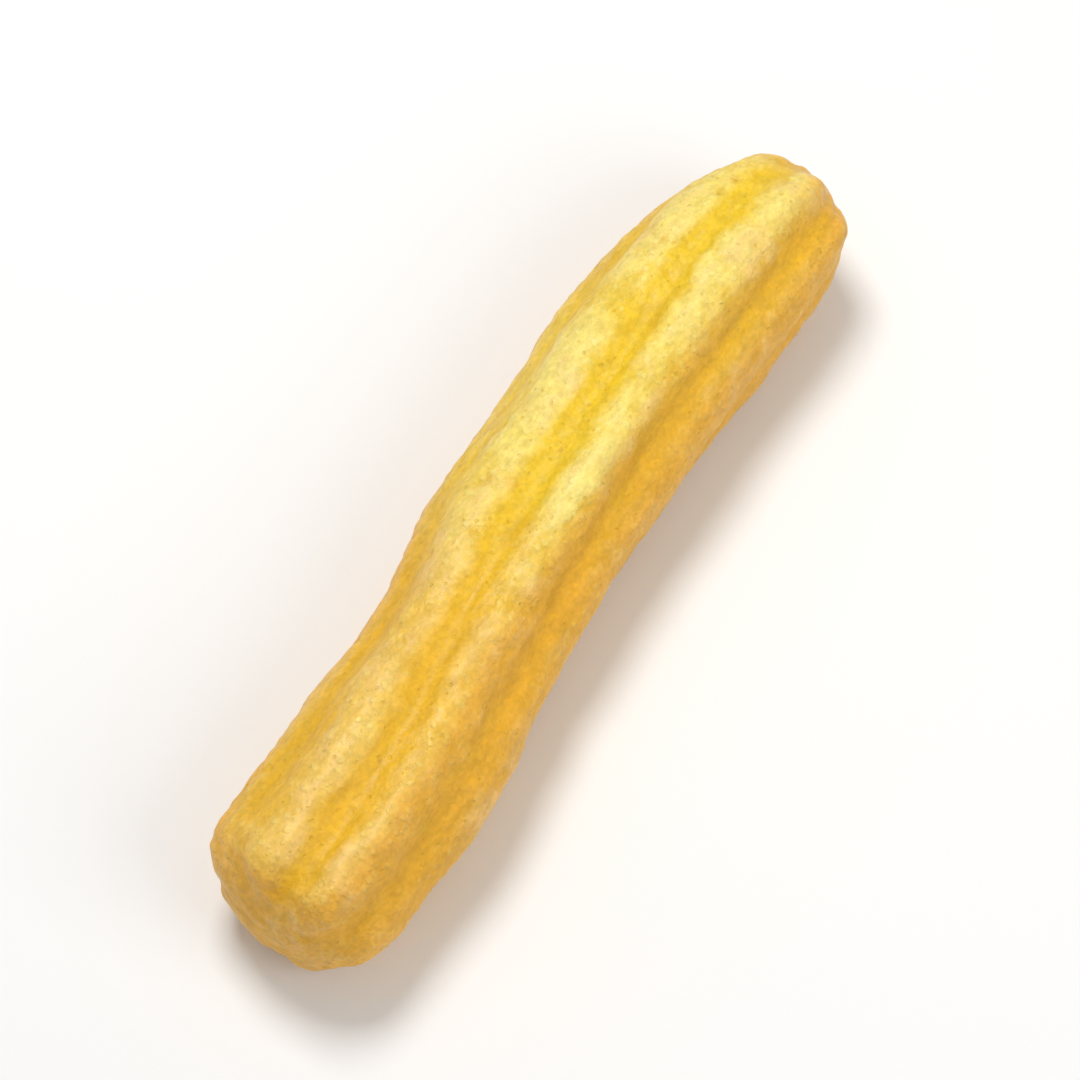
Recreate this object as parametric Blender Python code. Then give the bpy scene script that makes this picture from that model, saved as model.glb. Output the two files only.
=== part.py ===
"""A churro: dough piped through a star nozzle, cut to length and fried.

It lies along X on its underside, its shown end at +X, with the origin under its middle.
A ball is drawn out into a stick: each parallel of the ball becomes one ring of the stick,
and each meridian becomes a column that follows a ridge or a groove from end to end.
Angles round the stick are in degrees, from the top towards -Y.
"""

import math

import bmesh
import bpy

# Size, in metres
LENGTH = 0.118  # along the centre line
RADIUS = 0.0122  # from the centre line to the top of a ridge
FLAT_DEPTH = 0.0010  # how much of the lowest ridge is pressed flat

# Star section
RIDGES = 7
GROOVE_DEPTH = 0.155  # share of the radius
GROOVE_SOFTNESS = 0.25  # 0 gives grooves as sharp as a knife cut
RIDGE_ANGLE = 10.0  # where one ridge stands at the +X end
TWIST = 24.0  # how far the ridges turn from the +X end to the -X end

# Centre line: how far its heading swings, and the shares of the length where it turns
BEND = 8.5
BEND_PEAK = 0.42
BEND_HALF_TURN = 0.75

# Puffs (and sunk places, below zero) of the frying dough: share of the length, angle round
# the stick, height, half length and half width in metres
PUFFS = (
    (0.45, -75, 0.0009, 0.009, 0.008),
    (0.34, -80, -0.0008, 0.006, 0.008),
    (0.84, -76, 0.0011, 0.010, 0.010),
    (0.965, -74, -0.0016, 0.005, 0.009),
    (0.96, 100, -0.0010, 0.007, 0.009),
    (0.86, 20, 0.0005, 0.008, 0.005),
    (0.62, 30, 0.0004, 0.010, 0.005),
    (0.18, 35, 0.0007, 0.010, 0.007),
    (0.25, 120, 0.0008, 0.008, 0.008),
    (0.70, 150, -0.0006, 0.012, 0.007),
    (0.52, 95, -0.0005, 0.010, 0.006),
)

# Rounded ends: shares of the radius, except the tilt
TIP_REACH = 1.0
BASE_REACH = 0.85
END_SQUARENESS = 2.6  # 2 is a ball, more is blunter
RIDGE_END_REACH = 0.14  # ridges run further over the ends than the grooves between them
DIMPLE = 0.05
END_TILT = 5.0  # degrees

# Mesh
SEGMENTS = 10 * RIDGES
RINGS = 50
END_SHARE = 0.16  # of the rings, in each rounded end

CRUST_COLOUR = (0.78, 0.47, 0.09, 1.0)
CRUST_ROUGHNESS = 0.5


def wave(position, cycles, degrees):
    """A smooth swing between -1 and 1 along a position counted in whole lengths or turns."""
    return math.sin(2 * math.pi * cycles * position + math.radians(degrees))


def heading(along):
    """Direction of the centre line, in radians from +X towards +Y, at a share of the length."""
    return math.radians(BEND) * math.cos(math.pi * (along - BEND_PEAK) / BEND_HALF_TURN)


def centre_line(steps=400):
    """Points (x, y) of the centre line at equal shares of the length, from the -X end."""
    points = [(0.0, 0.0)]
    for step in range(steps):
        direction = heading((step + 0.5) / steps)
        x, y = points[-1]
        x += LENGTH / steps * math.cos(direction)
        y += LENGTH / steps * math.sin(direction)
        points.append((x, y))
    return points


def on_line(points, along):
    """The point of the centre line at a share of its length."""
    place = min(max(along, 0.0), 1.0) * (len(points) - 1)
    step = min(int(place), len(points) - 2)
    part = place - step
    (x0, y0), (x1, y1) = points[step], points[step + 1]
    return x0 + part * (x1 - x0), y0 + part * (y1 - y0)


def rounded_end(share, reach):
    """Distance from the end and share of full width, from the shoulder (0) to the pole (1)."""
    angle = share * math.pi / 2
    power = 2 / END_SQUARENESS
    inset = reach * RADIUS * (1 - math.sin(angle) ** power)
    return inset, math.cos(angle) ** power


def station(ring):
    """Distance from the -X end, share of full width, and how far into an end a ring is."""
    if ring < END_SHARE:
        into_end = 1 - ring / END_SHARE
        inset, width = rounded_end(into_end, BASE_REACH)
        return inset, width, -into_end
    if ring > 1 - END_SHARE:
        into_end = 1 - (1 - ring) / END_SHARE
        inset, width = rounded_end(into_end, TIP_REACH)
        return LENGTH - inset, width, into_end
    first = BASE_REACH * RADIUS
    last = LENGTH - TIP_REACH * RADIUS
    part = (ring - END_SHARE) / (1 - 2 * END_SHARE)
    return first + part * (last - first), 1.0, 0.0


def column_angle(column, along):
    """Where a column stands: it starts in its even place, and wanders and twists."""
    turn = column / 360
    uneven = 3 * wave(turn, 1, 40) + 2 * wave(turn, 2, 200)
    wander = 1.5 * wave(along, 1.4, 60) + 1.0 * wave(along + turn, 2, 0)
    return column + RIDGE_ANGLE + TWIST * (1 - along) + uneven + wander


def groove(column):
    """0 on a ridge and nearly 1 in a groove."""
    swing = math.cos(math.radians(RIDGES * column / 2))
    soft = GROOVE_SOFTNESS**2
    return 1 - math.sqrt((swing**2 + soft) / (1 + soft))


def puffed(angle, along):
    """Height of the puffs at a place on the skin."""
    height = 0.0
    for puff_along, puff_angle, puff_height, half_length, half_width in PUFFS:
        turned = (angle - puff_angle + 180) % 360 - 180
        away = (along - puff_along) * LENGTH / half_length
        aside = math.radians(turned) * RADIUS / half_width
        height += puff_height * math.exp(-(away**2 + aside**2) / 2)
    return height


def skin_radius(column, angle, along, into_end):
    """Radius with swells, ridges, grooves and puffs, before the ends are rounded."""
    turn = angle / 360
    swell = 1 + 0.018 * wave(along, 1.7, 30) + 0.010 * wave(along, 3.9, 110)
    uneven = 1 + 0.020 * wave(turn + 0.3 * along, 1, 75) + 0.014 * wave(turn - along, 2, 10)
    uneven += 0.010 * wave(turn + 1.6 * along, 3, 150)
    depth = 1 + 0.25 * wave(turn, 2, 60) + 0.2 * wave(along + turn, 2, 0)
    depth *= GROOVE_DEPTH * (1 - 0.5 * into_end**2)
    return RADIUS * swell * uneven * (1 - depth * groove(column)) + puffed(angle, along)


def surface_point(line, ring, column):
    """Point of the skin at a ring (0 to 1) and a column (degrees)."""
    distance, width, into_end = station(ring)
    along = distance / LENGTH
    angle = math.radians(column_angle(column, along))
    radius = width * skin_radius(column, math.degrees(angle), along, into_end)
    sideways = radius * math.sin(angle)
    upwards = radius * math.cos(angle)
    bulge = 6.75 * abs(into_end) * (1 - abs(into_end)) ** 2
    reach = RADIUS * RIDGE_END_REACH * bulge * (0.5 - groove(column))
    reach -= RADIUS * DIMPLE * abs(into_end) ** 4
    out = math.copysign(reach, into_end)
    out += abs(into_end) * math.tan(math.radians(END_TILT)) * upwards
    direction = heading(along)
    x, y = on_line(line, along)
    x += out * math.cos(direction) + sideways * math.sin(direction)
    y += out * math.sin(direction) - sideways * math.cos(direction)
    return x, y, upwards


def draw_out(mesh):
    """Moves every vertex of a unit ball, whose poles are on Z, to its place on the churro."""
    line = centre_line()
    for vertex in mesh.verts:
        x, y, z = vertex.co
        ring = 1 - math.acos(max(-1.0, min(1.0, z))) / math.pi
        column = math.degrees(math.atan2(y, x))
        vertex.co = surface_point(line, ring, column)


def lay_down(mesh):
    """Presses the lowest ridge flat on z = 0 and puts the origin under the middle."""
    lowest = min(vertex.co.z for vertex in mesh.verts) + FLAT_DEPTH
    spans = [[vertex.co[axis] for vertex in mesh.verts] for axis in (0, 1)]
    middle = [(min(span) + max(span)) / 2 for span in spans]
    for vertex in mesh.verts:
        vertex.co.x -= middle[0]
        vertex.co.y -= middle[1]
        vertex.co.z = max(vertex.co.z - lowest, 0.0)


def crust():
    """Golden fried dough."""
    material = bpy.data.materials.new("fried_dough")
    material.use_nodes = True
    shader = material.node_tree.nodes["Principled BSDF"]
    shader.inputs["Base Color"].default_value = CRUST_COLOUR
    shader.inputs["Roughness"].default_value = CRUST_ROUGHNESS
    shader.inputs["Metallic"].default_value = 0.0
    return material


def churro():
    """The whole stick, as one closed solid."""
    mesh = bmesh.new()
    bmesh.ops.create_uvsphere(mesh, u_segments=SEGMENTS, v_segments=RINGS, radius=1.0)
    draw_out(mesh)
    lay_down(mesh)
    data = bpy.data.meshes.new("churro")
    mesh.to_mesh(data)
    mesh.free()
    data.shade_smooth()
    data.materials.append(crust())
    part = bpy.data.objects.new("churro", data)
    bpy.context.scene.collection.objects.link(part)
    return part


for old in list(bpy.data.objects):
    bpy.data.objects.remove(old, do_unlink=True)
churro()
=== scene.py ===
"""The finished look of one fried churro, lying on a pale studio floor.

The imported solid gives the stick's size, bend and ridges. The crust is a fine copy of it, with
the puffs, blisters, pores and stretch marks of frying dough, in one procedural material.
Sizes are in metres.
"""

import math

import bpy
import numpy as np
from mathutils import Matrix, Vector, noise
from mathutils.kdtree import KDTree


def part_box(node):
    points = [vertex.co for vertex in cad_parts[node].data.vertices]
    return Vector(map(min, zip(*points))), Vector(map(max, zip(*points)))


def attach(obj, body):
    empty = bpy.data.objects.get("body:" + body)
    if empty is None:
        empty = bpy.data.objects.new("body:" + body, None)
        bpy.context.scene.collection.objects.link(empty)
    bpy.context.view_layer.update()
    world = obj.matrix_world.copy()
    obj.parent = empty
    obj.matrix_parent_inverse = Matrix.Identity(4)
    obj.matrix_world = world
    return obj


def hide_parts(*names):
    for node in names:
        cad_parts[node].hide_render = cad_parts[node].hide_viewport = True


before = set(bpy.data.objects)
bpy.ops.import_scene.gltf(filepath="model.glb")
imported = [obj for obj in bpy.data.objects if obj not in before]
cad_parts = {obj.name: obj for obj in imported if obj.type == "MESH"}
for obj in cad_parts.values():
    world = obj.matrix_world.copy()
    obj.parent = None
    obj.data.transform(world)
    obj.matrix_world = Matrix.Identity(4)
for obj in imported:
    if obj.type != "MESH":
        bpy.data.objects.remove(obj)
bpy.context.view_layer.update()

LOW, HIGH = (Vector(corner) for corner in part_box("churro"))
MIDDLE = (LOW + HIGH) / 2

# Crust mesh
VOXEL = 0.00036  # size of the crust's faces
WELD = 1e-6  # corners closer than this are one
CALM_HEIGHT = 0.0020  # the relief fades out this close to the floor
COARSE_VOXEL = 0.0012  # size of the faces of the copy that is smoothed until its ridges are gone
COARSE_ROUNDS = 26  # how often that copy is smoothed

# Relief of the crust: size of the lumps, how far they are stretched along the stick, height
SWELLS = (0.0120, 1.5, 0.00036)
KNOBS = (0.0050, 1.4, 0.00040)
LUMPS = (0.0023, 1.3, 0.00027)
STRETCH_MARKS = (0.0015, 3.5, 0.00010)
GRAIN = (0.0010, 1.1, 0.00011)
ROUGH_PATCHES = (0.0060, 1.5, 1.0)  # where the grain and the pebbles are strong
PEBBLE_SIZE = 0.0014
PEBBLE_HEIGHT = 0.00011
RIDGE_LIFT = 0.22  # ridges stand out and grooves sink by this share more
RIDGE_UNIT = 0.0005  # the height that the material counts as a whole ridge
RELIEF_UNIT = 0.0002  # the height that the material counts as a whole lump

# Blisters and pits: how many, and the ranges of their radius and height
BLISTERS = 200
BLISTER_RADIUS = (0.0005, 0.0019)
BLISTER_HEIGHT = (0.00003, 0.00017)
PITS = 80
PIT_RADIUS = (0.0004, 0.0009)
PIT_DEPTH = (0.00006, 0.00020)

# Colours of the crust, from its palest side to its tan side. The side facing the window light is
# painted paler and the side turned from it tan, partly as painted light and shade and partly as
# uneven frying
RIDGE_PALE = (0.930, 0.745, 0.185, 1.0)
RIDGE_TAN = (0.820, 0.430, 0.045, 1.0)
GROOVE_YELLOW = (0.850, 0.565, 0.020, 1.0)
GROOVE_AMBER = (0.800, 0.410, 0.018, 1.0)
LEMON = (0.950, 0.820, 0.250, 1.0)
PEACH = (0.930, 0.600, 0.210, 1.0)
HONEY = (0.740, 0.420, 0.012, 1.0)
TOAST = (0.480, 0.210, 0.020, 1.0)
LIT_SIDE = (0.0, 0.30, 0.95)  # the way the palest side faces: towards the window light, so it is paler partly as painted light and partly from uneven frying
LOWER_END = (0.006, -0.020)  # X from which, and to which, the lower end grows browner, partly as painted shade and partly as uneven frying
TIP_REACH = 0.012  # how far from its end the tip is browner

# Pattern of the crust's colours: sizes of its clouds, and spacing of its specks
PATCH_SIZE = 0.0110
BLOTCH_SIZE = 0.0046
MOTTLE_SIZE = 0.0016
GRAIN_SIZE = 0.00060
ALONG = (0.6, 1, 1)  # draws the larger clouds out along the stick
BUBBLE_SPACING = 0.0013
SMALL_BUBBLE_SPACING = 0.00065
PORE_SPACING = 0.0011
FLECK_SPACING = 0.0034
WAVE_SCALE = 900.0  # waves for each metre that make the specks uneven
WAVE_HEIGHT = 0.0006

# Fine relief in the material, and how deep light goes into the dough
BUMP_STRENGTH = 0.9
BUMP_HEIGHT = 0.00014
LIGHT_DEPTH = 0.0007

# Camera
VIEW_ELEVATION = 65.0
VIEW_TURN = 52.7  # degrees from the camera's right hand to the churro's +X
LENS = 150.0  # millimetres, as the sensor
SENSOR = 36.0
FRAME_HEIGHT = 0.130  # of floor that the picture covers at the churro
CLIP_START = 0.01

# Floor and light: places are counted from the churro's middle, powers in watts
FLOOR_SIZE = 6.0
FLOOR_GAP = 0.00003  # keeps the floor just clear of the flat underside
FLOOR_PALE = (0.94, 0.94, 0.94, 1.0)
SKY_STRENGTH = 0.42
WINDOW_PLACE = (0.08, 0.16, 0.50)
WINDOW_SIZE = 0.20
WINDOW_POWER = 1.62
WINDOW_COLOUR = (1.0, 0.99, 0.97)
FILL_PLACE = (0.04, -0.42, 0.36)
FILL_SIZE = 0.35
FILL_POWER = 0.76


# ---------------------------------------------------------------- modelling helpers

def only(piece):
    """Leaves one object selected and active."""
    if bpy.context.object and bpy.context.object.mode != "OBJECT":
        bpy.ops.object.mode_set(mode="OBJECT")
    bpy.ops.object.select_all(action="DESELECT")
    piece.select_set(True)
    bpy.context.view_layer.objects.active = piece


def apply(piece, kind, **settings):
    """Adds a modifier with these settings and applies it."""
    only(piece)
    modifier = piece.modifiers.new(kind.lower(), kind)
    for name, value in settings.items():
        setattr(modifier, name, value)
    bpy.ops.object.modifier_apply(modifier=modifier.name)


def lumps(points, kind, seed):
    """Smooth lumps of one kind, as heights in metres, the same each time for one seed."""
    size, stretch, height = kind
    scale = np.array((1 / stretch, 1, 1)) / size
    places = points * scale + seed * 17.3
    return height * np.array([noise.noise(place) for place in places.tolist()])


def pebbles(points, size, height):
    """Small rounded pebbles side by side, with fine creases between them, as heights in metres."""
    nearest = np.array([noise.voronoi(place)[0][0] for place in (points / size).tolist()])
    return height * np.clip(1 - (nearest / 0.8) ** 2, 0, 1)


def points_of(mesh):
    """The mesh's vertices as an array."""
    flat = np.empty(len(mesh.vertices) * 3, np.float32)
    mesh.vertices.foreach_get("co", flat)
    return flat.reshape(-1, 3).astype(float)


def normals_of(mesh):
    """The mesh's vertex normals as an array."""
    flat = np.empty(len(mesh.vertices) * 3, np.float32)
    mesh.vertex_normals.foreach_get("vector", flat)
    return flat.reshape(-1, 3).astype(float)


def put_points(mesh, points):
    """Moves the mesh's vertices."""
    mesh.vertices.foreach_set("co", points.astype(np.float32).ravel())
    mesh.update()


def smooth_step(low, high, value):
    """0 below low, 1 above high, and a smooth rise between."""
    share = np.clip((value - low) / (high - low), 0, 1)
    return share * share * (3 - 2 * share)


def keep_attribute(mesh, name, values):
    """Stores one number for each vertex, for the material."""
    attribute = mesh.attributes.new(name, "FLOAT", "POINT")
    attribute.data.foreach_set("value", values.astype(np.float32))


# ---------------------------------------------------------------- the crust

def fine_copy():
    """The churro's solid as an evenly divided mesh, fine enough for the relief."""
    piece = bpy.data.objects.new("churro_crust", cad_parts["churro"].data.copy())
    bpy.context.scene.collection.objects.link(piece)
    only(piece)
    bpy.ops.object.mode_set(mode="EDIT")
    bpy.ops.mesh.select_all(action="SELECT")
    bpy.ops.mesh.remove_doubles(threshold=WELD)
    bpy.ops.mesh.tris_convert_to_quads()
    bpy.ops.object.mode_set(mode="OBJECT")
    apply(piece, "SUBSURF", levels=2, render_levels=2)
    apply(piece, "REMESH", mode="VOXEL", voxel_size=VOXEL)
    apply(piece, "SMOOTH", factor=0.5, iterations=6)
    return piece


def ridge_measure(piece):
    """How far each vertex stands out from a much smoothed copy, and how that copy faces there.

    The first is above 0 on ridges and below 0 in grooves. The second is a normal.
    """
    smooth = bpy.data.objects.new("smoothed", piece.data.copy())
    bpy.context.scene.collection.objects.link(smooth)
    apply(smooth, "REMESH", mode="VOXEL", voxel_size=COARSE_VOXEL)
    apply(smooth, "SMOOTH", factor=0.5, iterations=COARSE_ROUNDS)
    points, normals = points_of(smooth.data), normals_of(smooth.data)
    tree = KDTree(len(points))
    for index, point in enumerate(points):
        tree.insert(point, index)
    tree.balance()
    nearest = np.array([tree.find(point)[1] for point in points_of(piece.data)])
    away = points_of(piece.data) - points[nearest]
    out = np.einsum("ij,ij->i", away, normals[nearest])
    bpy.data.objects.remove(smooth)
    return out - np.median(out), normals[nearest]


def spots(points, chance, count, radii, heights, random):
    """Round or slightly long domes at chance places, as heights; all domes are rounded off."""
    lift = np.zeros(len(points))
    centres = random.choice(len(points), count, replace=False, p=chance / chance.sum())
    for centre in centres:
        radius = radii[0] + (radii[1] - radii[0]) * random.random() ** 2
        height = heights[0] + (heights[1] - heights[0]) * random.random()
        away = points - points[centre]
        away[:, 0] /= random.uniform(1.0, 2.0)
        share = np.linalg.norm(away, axis=1) / radius
        lift = np.maximum(lift, height * np.clip(1 - share**2, 0, 1) ** 1.5)
    return lift


def make_crust():
    """The whole visible churro."""
    piece = fine_copy()
    mesh = piece.data
    random = np.random.default_rng(7)
    ridge, way = ridge_measure(piece)
    points, normals = points_of(mesh), normals_of(mesh)
    calm = smooth_step(0.0, CALM_HEIGHT, points[:, 2] - LOW.z)
    crest = smooth_step(-0.0002, 0.0002, ridge)
    relief = lumps(points, KNOBS, 2) * (0.5 + 0.5 * crest)
    relief += lumps(points, LUMPS, 5) * (0.6 + 0.4 * crest)
    relief += lumps(points, STRETCH_MARKS, 3) * (1.2 - 0.6 * crest)
    rough = smooth_step(-0.15, 0.25, lumps(points, ROUGH_PATCHES, 6))
    crumbs = lumps(points, GRAIN, 4) + pebbles(points, PEBBLE_SIZE, PEBBLE_HEIGHT)
    relief += crumbs * (0.3 + 0.7 * rough)
    raised = spots(points, 0.2 + crest, BLISTERS, BLISTER_RADIUS, BLISTER_HEIGHT, random)
    sunk = spots(points, 1.2 - crest, PITS, PIT_RADIUS, PIT_DEPTH, random)
    relief += raised - sunk
    height = relief + lumps(points, SWELLS, 1) + RIDGE_LIFT * ridge
    points += normals * (height * calm)[:, None]
    points[:, 2] = np.maximum(points[:, 2], LOW.z)
    put_points(mesh, points)
    keep_attribute(mesh, "ridge", np.clip(ridge / RIDGE_UNIT, -1.6, 1.6))
    # how far each place faces the window light; the material paints the side turned away tan,
    # partly as painted shade
    keep_attribute(mesh, "lit_side", way @ np.array(LIT_SIDE))
    keep_attribute(mesh, "relief", np.clip((relief - np.median(relief)) / RELIEF_UNIT, -1, 1))
    keep_attribute(mesh, "raised", raised / BLISTER_HEIGHT[1])
    keep_attribute(mesh, "sunk", sunk / PIT_DEPTH[1])
    mesh.shade_smooth()
    return piece


# ---------------------------------------------------------------- material

def link(tree, source, target):
    tree.links.new(source, target)


def feed(tree, value, socket):
    """Links another node's output to a socket, or sets the socket to a plain value."""
    if isinstance(value, bpy.types.NodeSocket):
        link(tree, value, socket)
    else:
        socket.default_value = value


def node(tree, kind, **inputs):
    """A shader node with its inputs fed by name."""
    made = tree.nodes.new(kind)
    for name, value in inputs.items():
        feed(tree, value, made.inputs[name.replace("_", " ")])
    return made


def calculate(tree, operation, first, second=0.0, clamp=False):
    """A Math node's result."""
    made = tree.nodes.new("ShaderNodeMath")
    made.operation = operation
    made.use_clamp = clamp
    for socket, value in zip(made.inputs, (first, second)):
        feed(tree, value, socket)
    return made.outputs[0]


def spread(tree, value, low, high, low_to=0.0, high_to=1.0):
    """A value stretched smoothly from one range to another."""
    ends = {"From_Min": low, "From_Max": high, "To_Min": low_to, "To_Max": high_to}
    made = node(tree, "ShaderNodeMapRange", Value=value, **ends)
    made.interpolation_type = "SMOOTHSTEP"
    return made.outputs["Result"]


def blend_colour(tree, share, first, second, mode="MIX"):
    """One colour laid over another."""
    made = tree.nodes.new("ShaderNodeMix")
    made.data_type = "RGBA"
    made.blend_type = mode
    for name, value in (("Factor_Float", share), ("A_Color", first), ("B_Color", second)):
        feed(tree, value, next(s for s in made.inputs if s.identifier == name))
    return next(s for s in made.outputs if s.identifier == "Result_Color")


def cloud(tree, where, size, detail=2.0, roughness=0.5, stretch=None):
    """Noise whose lumps are about one size across, in metres."""
    if stretch:
        where = node(tree, "ShaderNodeMapping", Vector=where, Scale=stretch).outputs["Vector"]
    settings = {"Scale": 1 / size, "Detail": detail, "Roughness": roughness}
    return node(tree, "ShaderNodeTexNoise", Vector=where, **settings).outputs["Fac"]


def group_socket(group, name, kind, way, value=None):
    """A named input or output of a node group."""
    socket = group.interface.new_socket(name=name, in_out=way, socket_type=kind)
    if value is not None:
        socket.default_value = value
    return socket


def speckle_group():
    """Scattered round specks: a mask that is 1 in each speck."""
    group = bpy.data.node_groups.new("specks", "ShaderNodeTree")
    group_socket(group, "Vector", "NodeSocketVector", "INPUT")
    for name, value in (("Spacing", 0.001), ("Width", 0.3), ("Share", 0.5)):
        group_socket(group, name, "NodeSocketFloat", "INPUT", value)
    group_socket(group, "Mask", "NodeSocketFloat", "OUTPUT")
    start = group.nodes.new("NodeGroupInput")
    end = group.nodes.new("NodeGroupOutput")
    scale = calculate(group, "DIVIDE", 1.0, start.outputs["Spacing"])
    cells = node(group, "ShaderNodeTexVoronoi", Vector=start.outputs["Vector"], Scale=scale)
    inside = calculate(group, "DIVIDE", cells.outputs["Distance"], start.outputs["Width"])
    inside = calculate(group, "SUBTRACT", 1.0, inside, clamp=True)
    inside = spread(group, inside, 0.0, 0.6)
    colour = node(group, "ShaderNodeSeparateColor", Color=cells.outputs["Color"])
    chosen = calculate(group, "LESS_THAN", colour.outputs["Red"], start.outputs["Share"])
    link(group, times(group, inside, chosen), end.inputs["Mask"])
    return group


def specks(tree, group, where, spacing, width, share):
    """One use of the specks group: specks of a width, in a share of cells of a spacing."""
    made = tree.nodes.new("ShaderNodeGroup")
    made.node_tree = group
    settings = {"Vector": where, "Spacing": spacing, "Width": width, "Share": share}
    for name, value in settings.items():
        feed(tree, value, made.inputs[name])
    return made.outputs["Mask"]


def attribute(tree, name):
    """A number that the mesh stores at each vertex."""
    made = tree.nodes.new("ShaderNodeAttribute")
    made.attribute_name = name
    return made.outputs["Fac"]


def add(tree, first, second, clamp=False):
    return calculate(tree, "ADD", first, second, clamp)


def times(tree, first, second):
    return calculate(tree, "MULTIPLY", first, second)


def share_of(tree, mask, share):
    """A mask made weaker."""
    return times(tree, mask, share)


def around_zero(tree, value, height):
    """Noise from 0 to 1 turned into a swing around zero."""
    return share_of(tree, calculate(tree, "SUBTRACT", value, 0.5), height)


def shifted(tree, where, offset):
    """The same place moved, so that a second noise doesn't repeat the first."""
    return node(tree, "ShaderNodeMapping", Vector=where, Location=offset).outputs["Vector"]


def crust_patterns(tree, where):
    """The clouds that vary the crust, from large patches to fine grain."""
    aside = shifted(tree, where, (0.31, 0.17, 0.43))
    return {
        "patches": cloud(tree, where, PATCH_SIZE, 3.0, 0.55, ALONG),
        "blotches": cloud(tree, aside, BLOTCH_SIZE, 3.0, 0.6, ALONG),
        "mottle": cloud(tree, where, MOTTLE_SIZE, 3.0, 0.6, (0.7, 1, 1)),
        "grain": cloud(tree, where, GRAIN_SIZE, 2.0, 0.5),
    }


def browning_and_painted_shade(tree, where, pattern):
    """How tan each place is, 0 pale to 1 tan, and the tip's share of that. The side turned from the
    window light and the lower end are tan partly as painted shade and partly from uneven frying;
    the tip is browned by frying.
    """
    along = node(tree, "ShaderNodeSeparateXYZ", Vector=where).outputs["X"]
    lit_side = add(tree, attribute(tree, "lit_side"), around_zero(tree, pattern["patches"], 0.5))
    # the side turned from the window light grows tan: partly painted shade, partly uneven frying
    tan_and_shade = spread(tree, lit_side, 0.98, 0.20)
    # the lower end grows browner: partly painted shade, partly uneven frying
    lower_end = spread(tree, along, LOWER_END[0], LOWER_END[1], 0.0, 0.60)
    tip_end = spread(tree, along, HIGH.x - TIP_REACH, HIGH.x, 0.0, 0.25)
    return add(tree, tan_and_shade, add(tree, lower_end, tip_end), clamp=True), tip_end


def crust_level(tree, pattern):
    """How high each place counts between groove and ridge, uneven where the two meet."""
    level = add(tree, attribute(tree, "ridge"), around_zero(tree, pattern["mottle"], 0.8))
    level = add(tree, level, around_zero(tree, pattern["blotches"], 0.6))
    return add(tree, level, share_of(tree, attribute(tree, "relief"), 0.30))


def ridge_shades(tree, blotches, tan_and_shade):
    """Pale to tan ridges, peach in some blotches and lemon in others."""
    # pale on the lit side to tan on the side turned from the light, partly painted light and shade
    colour = blend_colour(tree, tan_and_shade, RIDGE_PALE, RIDGE_TAN)
    peach = share_of(tree, spread(tree, blotches, 0.50, 0.68), 0.45)
    colour = blend_colour(tree, peach, colour, PEACH)
    lemon = share_of(tree, spread(tree, blotches, 0.46, 0.32), 0.40)
    lemon = times(tree, lemon, calculate(tree, "SUBTRACT", 1.0, tan_and_shade))
    return blend_colour(tree, lemon, colour, LEMON)


def groove_shades(tree, blotches, tan_and_shade, tip_end):
    """Yellow to amber grooves, honey in some blotches and at the tip."""
    # yellow on the lit side to amber on the side turned from the light, partly painted light and
    # shade
    colour = blend_colour(tree, tan_and_shade, GROOVE_YELLOW, GROOVE_AMBER)
    honey = add(tree, spread(tree, blotches, 0.50, 0.66), tip_end, clamp=True)
    return blend_colour(tree, share_of(tree, honey, 0.50), colour, HONEY)


def wavered(tree, where):
    """The same place moved a little to and fro, so that specks there aren't quite round."""
    wave = node(tree, "ShaderNodeTexNoise", Vector=where, Scale=WAVE_SCALE, Detail=1.0)
    shift = node(tree, "ShaderNodeVectorMath", Vector=wave.outputs["Color"])
    shift.operation = "SCALE"
    shift.inputs["Scale"].default_value = WAVE_HEIGHT
    moved = node(tree, "ShaderNodeVectorMath", Vector=where)
    moved.operation = "ADD"
    link(tree, shift.outputs["Vector"], moved.inputs[1])
    return moved.outputs["Vector"]


def speck_masks(tree, where):
    """Masks of the bubbles, pores and toasted flecks."""
    group = speckle_group()
    uneven = wavered(tree, where)
    aside = shifted(tree, uneven, (0.2, 0.5, 0.3))
    bubbles = specks(tree, group, uneven, BUBBLE_SPACING, 0.50, 0.50)
    small_bubbles = specks(tree, group, uneven, SMALL_BUBBLE_SPACING, 0.50, 0.45)
    bubbles = calculate(tree, "MAXIMUM", bubbles, share_of(tree, small_bubbles, 0.7))
    on_ridge = spread(tree, attribute(tree, "ridge"), -0.5, 0.3, 0.25, 1.0)
    return {
        "bubbles": times(tree, bubbles, on_ridge),
        "pores": specks(tree, group, aside, PORE_SPACING, 0.28, 0.35),
        "flecks": specks(tree, group, uneven, FLECK_SPACING, 0.15, 0.25),
    }


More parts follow.
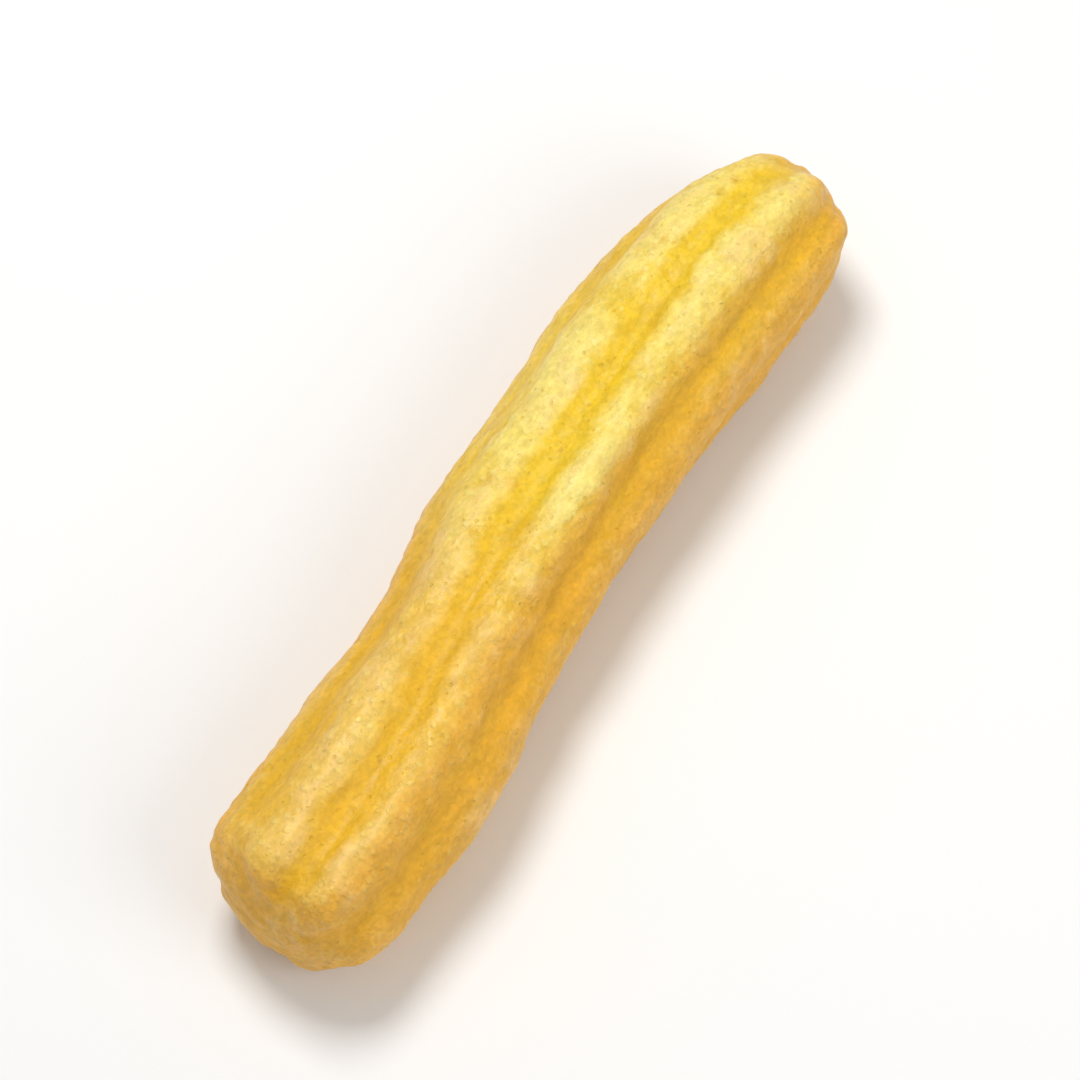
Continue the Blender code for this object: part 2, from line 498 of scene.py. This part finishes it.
def crust_colour(tree, where, pattern, level, mask):
    """Ridges over grooves, then bubbles, blisters, pits, pores and flecks, all finely mottled."""
    tan_and_shade, tip_end = browning_and_painted_shade(tree, where, pattern)
    ridges = ridge_shades(tree, pattern["blotches"], tan_and_shade)
    grooves = groove_shades(tree, pattern["blotches"], tan_and_shade, tip_end)
    colour = blend_colour(tree, spread(tree, level, -0.62, 0.58), grooves, ridges)

    pale_bubbles = times(tree, mask["bubbles"], spread(tree, tan_and_shade, 0.2, 0.9, 0.38, 0.14))
    raised = share_of(tree, attribute(tree, "raised"), 0.25)
    sunk = share_of(tree, attribute(tree, "sunk"), 0.50)
    for share, over in (
        (pale_bubbles, LEMON),
        (raised, ridges),
        (sunk, HONEY),
        (share_of(tree, mask["pores"], 0.45), HONEY),
        (share_of(tree, mask["flecks"], 0.35), TOAST),
    ):
        colour = blend_colour(tree, share, colour, over)

    fine = spread(tree, pattern["mottle"], 0.3, 0.7, 0.91, 1.05)
    fine = times(tree, fine, spread(tree, pattern["grain"], 0.3, 0.7, 0.94, 1.06))
    shade = node(tree, "ShaderNodeCombineColor", Red=fine, Green=fine, Blue=fine)
    return blend_colour(tree, 1.0, colour, shade.outputs["Color"], "MULTIPLY")


def crust_roughness(tree, pattern):
    """Smoother where a film of oil lies, with some grain."""
    film = spread(tree, pattern["patches"], 0.35, 0.65)
    rough = add(tree, share_of(tree, film, -0.12), 0.54)
    return add(tree, rough, around_zero(tree, pattern["grain"], 0.16))


def fine_relief(tree, pattern, mask):
    """Relief finer than the mesh, as a normal."""
    height = add(tree, share_of(tree, pattern["grain"], 0.7), share_of(tree, mask["bubbles"], 0.7))
    height = add(tree, height, share_of(tree, pattern["mottle"], 0.9))
    height = calculate(tree, "SUBTRACT", height, share_of(tree, mask["pores"], 0.6))
    bump = node(tree, "ShaderNodeBump", Height=height, Strength=BUMP_STRENGTH, Distance=BUMP_HEIGHT)
    return bump.outputs["Normal"]


def crust_material():
    """Golden crust: pale ridges, deep yellow grooves, sides tan partly as painted shade, specks and
    a film of oil.
    """
    material = bpy.data.materials.new("fried_crust")
    material.use_nodes = True
    tree = material.node_tree
    tree.nodes.clear()
    where = tree.nodes.new("ShaderNodeTexCoord").outputs["Object"]
    pattern = crust_patterns(tree, where)
    level = crust_level(tree, pattern)
    mask = speck_masks(tree, where)

    shader = tree.nodes.new("ShaderNodeBsdfPrincipled")
    link(tree, crust_colour(tree, where, pattern, level, mask), shader.inputs["Base Color"])
    link(tree, crust_roughness(tree, pattern), shader.inputs["Roughness"])
    oil = share_of(tree, spread(tree, level, -0.4, 0.6), 0.14)
    link(tree, oil, shader.inputs["Coat Weight"])
    link(tree, fine_relief(tree, pattern, mask), shader.inputs["Normal"])
    shader.inputs["Coat Roughness"].default_value = 0.28
    shader.inputs["Specular IOR Level"].default_value = 0.35
    shader.inputs["Subsurface Weight"].default_value = 0.12
    shader.inputs["Subsurface Radius"].default_value = (1.0, 0.55, 0.15)
    shader.inputs["Subsurface Scale"].default_value = LIGHT_DEPTH
    output = tree.nodes.new("ShaderNodeOutputMaterial")
    link(tree, shader.outputs["BSDF"], output.inputs["Surface"])
    return material


# ---------------------------------------------------------------- studio

def aim(thing, target):
    """Turns a camera or a light towards a point."""
    direction = Vector(target) - thing.location
    thing.rotation_euler = direction.to_track_quat("-Z", "Y").to_euler()


def soft_light(name, place, size, power, colour=(1.0, 1.0, 1.0)):
    """A round light at a place counted from the churro's middle, aimed at it."""
    data = bpy.data.lights.new(name, "AREA")
    data.shape = "DISK"
    data.size = size
    data.energy = power
    data.color = colour
    light = bpy.data.objects.new(name, data)
    bpy.context.scene.collection.objects.link(light)
    light.location = MIDDLE + Vector(place)
    aim(light, MIDDLE)


def make_floor():
    """A plain pale floor, far wider than the picture."""
    bpy.ops.object.select_all(action="DESELECT")
    bpy.ops.mesh.primitive_plane_add(size=FLOOR_SIZE, location=(0, 0, LOW.z - FLOOR_GAP))
    floor = bpy.context.object
    floor.name = "studio_floor"
    material = bpy.data.materials.new("pale_floor")
    material.use_nodes = True
    shader = material.node_tree.nodes["Principled BSDF"]
    shader.inputs["Base Color"].default_value = FLOOR_PALE
    shader.inputs["Roughness"].default_value = 0.8
    floor.data.materials.append(material)


def make_camera():
    """Looks down on the churro, with its +X end up and to the right."""
    turn = math.radians(VIEW_TURN)
    rise = math.radians(VIEW_ELEVATION)
    ahead = Vector((math.sin(turn), math.cos(turn), 0))
    away = LENS / SENSOR * FRAME_HEIGHT
    back = ahead * -math.cos(rise) + Vector((0, 0, math.sin(rise)))
    data = bpy.data.cameras.new("camera")
    data.lens = LENS
    data.sensor_width = SENSOR
    data.clip_start = CLIP_START
    camera = bpy.data.objects.new("camera", data)
    bpy.context.scene.collection.objects.link(camera)
    camera.location = MIDDLE + back * away
    aim(camera, MIDDLE)
    bpy.context.scene.camera = camera


def make_studio():
    """Floor, camera, a pale sky and two soft lights."""
    make_floor()
    make_camera()
    world = bpy.data.worlds.new("studio")
    world.use_nodes = True
    background = world.node_tree.nodes["Background"]
    background.inputs["Color"].default_value = (1.0, 1.0, 1.0, 1.0)
    background.inputs["Strength"].default_value = SKY_STRENGTH
    bpy.context.scene.world = world
    soft_light("window", WINDOW_PLACE, WINDOW_SIZE, WINDOW_POWER, WINDOW_COLOUR)
    soft_light("fill", FILL_PLACE, FILL_SIZE, FILL_POWER)
    bpy.context.scene.view_settings.view_transform = "Standard"


crust = make_crust()
crust.data.materials.clear()
crust.data.materials.append(crust_material())
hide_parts("churro")
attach(crust, "root")
make_studio()
